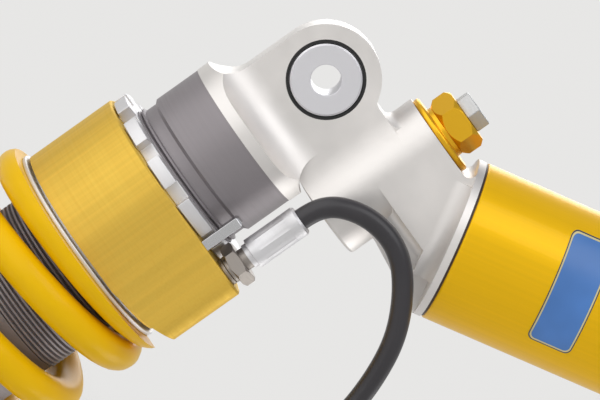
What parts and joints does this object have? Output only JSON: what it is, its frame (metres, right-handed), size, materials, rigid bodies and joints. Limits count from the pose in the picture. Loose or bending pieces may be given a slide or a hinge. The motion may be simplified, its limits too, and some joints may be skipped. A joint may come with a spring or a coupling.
{
  "type": "motorcycle rear shock absorber with reservoir and hydraulic preload adjuster",
  "caption": "Coil-over damper with an eye at each end, an angled gas reservoir on its head, a hydraulic spring preload housing and a hose to a remote adjuster.",
  "frame": {"origin": "centre of the upper eye's bore", "axes": "+Z from the lower eye up to the upper eye, +X towards the reservoir, +Y along the eye bores"},
  "size_m": [0.2142, 0.0882, 0.3998],
  "materials": {
    "machined_aluminium": "satin",
    "grey_hard_anodised": "matte",
    "gold_anodised": "brushed satin",
    "reservoir_anodised": "satin",
    "silver_ring": "satin",
    "spring_yellow": "glossy",
    "steel": "fine turned",
    "hard_chrome": "polished",
    "black_anodised": "satin",
    "bush_bronze": "plain",
    "valve_brass": "turned",
    "seal_rubber": "matte",
    "seam_rubber": "matte",
    "stop_rubber": "matte",
    "hose_black": "smooth",
    "plastic_black": "fine grain"
  },
  "bodies": {
    "damper_body": {"head": "machined_aluminium", "tube_seals": "seal_rubber", "body_tube": "grey_hard_anodised", "lock_ring": "silver_ring", "ring_key": "steel", "preload_housing": "gold_anodised", "port_washers": "silver_ring", "hose_union": "steel", "hose_ferrule": "steel", "preload_hose": "hose_black", "remote_ferrule": "steel", "remote_union": "steel", "remote_cylinder": "machined_aluminium", "remote_plug": "black_anodised", "remote_bracket": "steel", "reservoir_tube": "reservoir_anodised", "reservoir_seals": "seam_rubber", "end_cap": "black_anodised", "retaining_rings": "steel", "gas_valve": "valve_brass", "gas_valve_cap": "plastic_black", "valve_cap": "gold_anodised", "valve_cartridge": "gold_anodised", "valve_piston": "machined_aluminium", "seal_head": "machined_aluminium", "shaft_bush": "bush_bronze", "shaft_seal": "seal_rubber", "dust_wiper": "seal_rubber", "upper_race": "steel", "upper_seals": "seal_rubber"},
    "shaft_assembly": {"piston_shaft": "hard_chrome", "main_piston": "machined_aluminium", "piston_band": "bush_bronze", "piston_shims": "steel", "piston_nut": "steel", "metering_rod": "steel", "topout_bumper": "stop_rubber", "bump_stop": "stop_rubber", "lower_eye": "machined_aluminium", "lower_seat": "gold_anodised", "lower_race": "steel", "lower_seals": "seal_rubber"},
    "preload_seat": {"ring_piston": "machined_aluminium", "ring_piston_seal": "seal_rubber", "spring_seat": "steel", "main_spring": "spring_yellow"},
    "gas_piston": {"floating_piston": "machined_aluminium", "floating_piston_seal": "seal_rubber"},
    "upper_bearing": {"upper_ball": "steel", "upper_spacers": "steel"},
    "lower_bearing": {"lower_ball": "steel", "lower_spacers": "steel"},
    "high_speed_click": {"high_speed_adjuster": "silver_ring"},
    "low_speed_click": {"low_speed_screw": "valve_brass"},
    "rebound_click": {"rebound_wheel": "black_anodised"},
    "knob_body": {"preload_knob": "black_anodised"},
    "adjuster_piston": {"remote_piston": "machined_aluminium"}
  },
  "joints": [
    {"name": "damper_stroke", "type": "slide", "parent": "damper_body", "child": "shaft_assembly", "axis": [0, 0, 1], "range_m": [0, 0.06], "stiffness_N_per_m": 112000, "deforming": ["main_spring"]},
    {"name": "knob_turn", "type": "hinge", "parent": "damper_body", "child": "knob_body", "pos_m": [0.093, -0.0245, -0.3], "axis": [0, 0, 1], "range_deg": [0, 2880]},
    {"name": "seat_travel", "type": "slide", "parent": "damper_body", "child": "preload_seat", "axis": [0, 0, -1], "range_m": [0, 0.008]},
    {"name": "adjuster_travel", "type": "slide", "parent": "damper_body", "child": "adjuster_piston", "axis": [0, 0, 1], "range_m": [0, 0.014]},
    {"name": "gas_piston_travel", "type": "slide", "parent": "damper_body", "child": "gas_piston", "axis": [0.8572, 0, 0.515], "range_m": [0, 0.00667]},
    {"name": "upper_pivot", "type": "hinge", "parent": "damper_body", "child": "upper_bearing", "pos_m": [0, 0, 0], "axis": [0, 1, 0], "continuous": true},
    {"name": "lower_pivot", "type": "hinge", "parent": "shaft_assembly", "child": "lower_bearing", "pos_m": [0, 0, -0.302], "axis": [0, 1, 0], "continuous": true},
    {"name": "high_speed_turn", "type": "hinge", "parent": "damper_body", "child": "high_speed_click", "pos_m": [0.0368, 0, 0.03], "axis": [0, 0, 1], "range_deg": [0, 1080]},
    {"name": "low_speed_turn", "type": "hinge", "parent": "damper_body", "child": "low_speed_click", "pos_m": [0.0368, 0, 0.03], "axis": [0, 0, 1], "range_deg": [0, 1980]},
    {"name": "rebound_turn", "type": "hinge", "parent": "shaft_assembly", "child": "rebound_click", "pos_m": [0, 0, -0.27], "axis": [0, 0, 1], "range_deg": [0, 1080]}
  ],
  "couplings": [
    {"joint": "knob_turn", "follows": "seat_travel", "rad_per_m": 6283.1},
    {"joint": "adjuster_travel", "follows": "seat_travel", "ratio": 1.75},
    {"joint": "gas_piston_travel", "follows": "damper_stroke", "ratio": 0.1111}
  ]
}
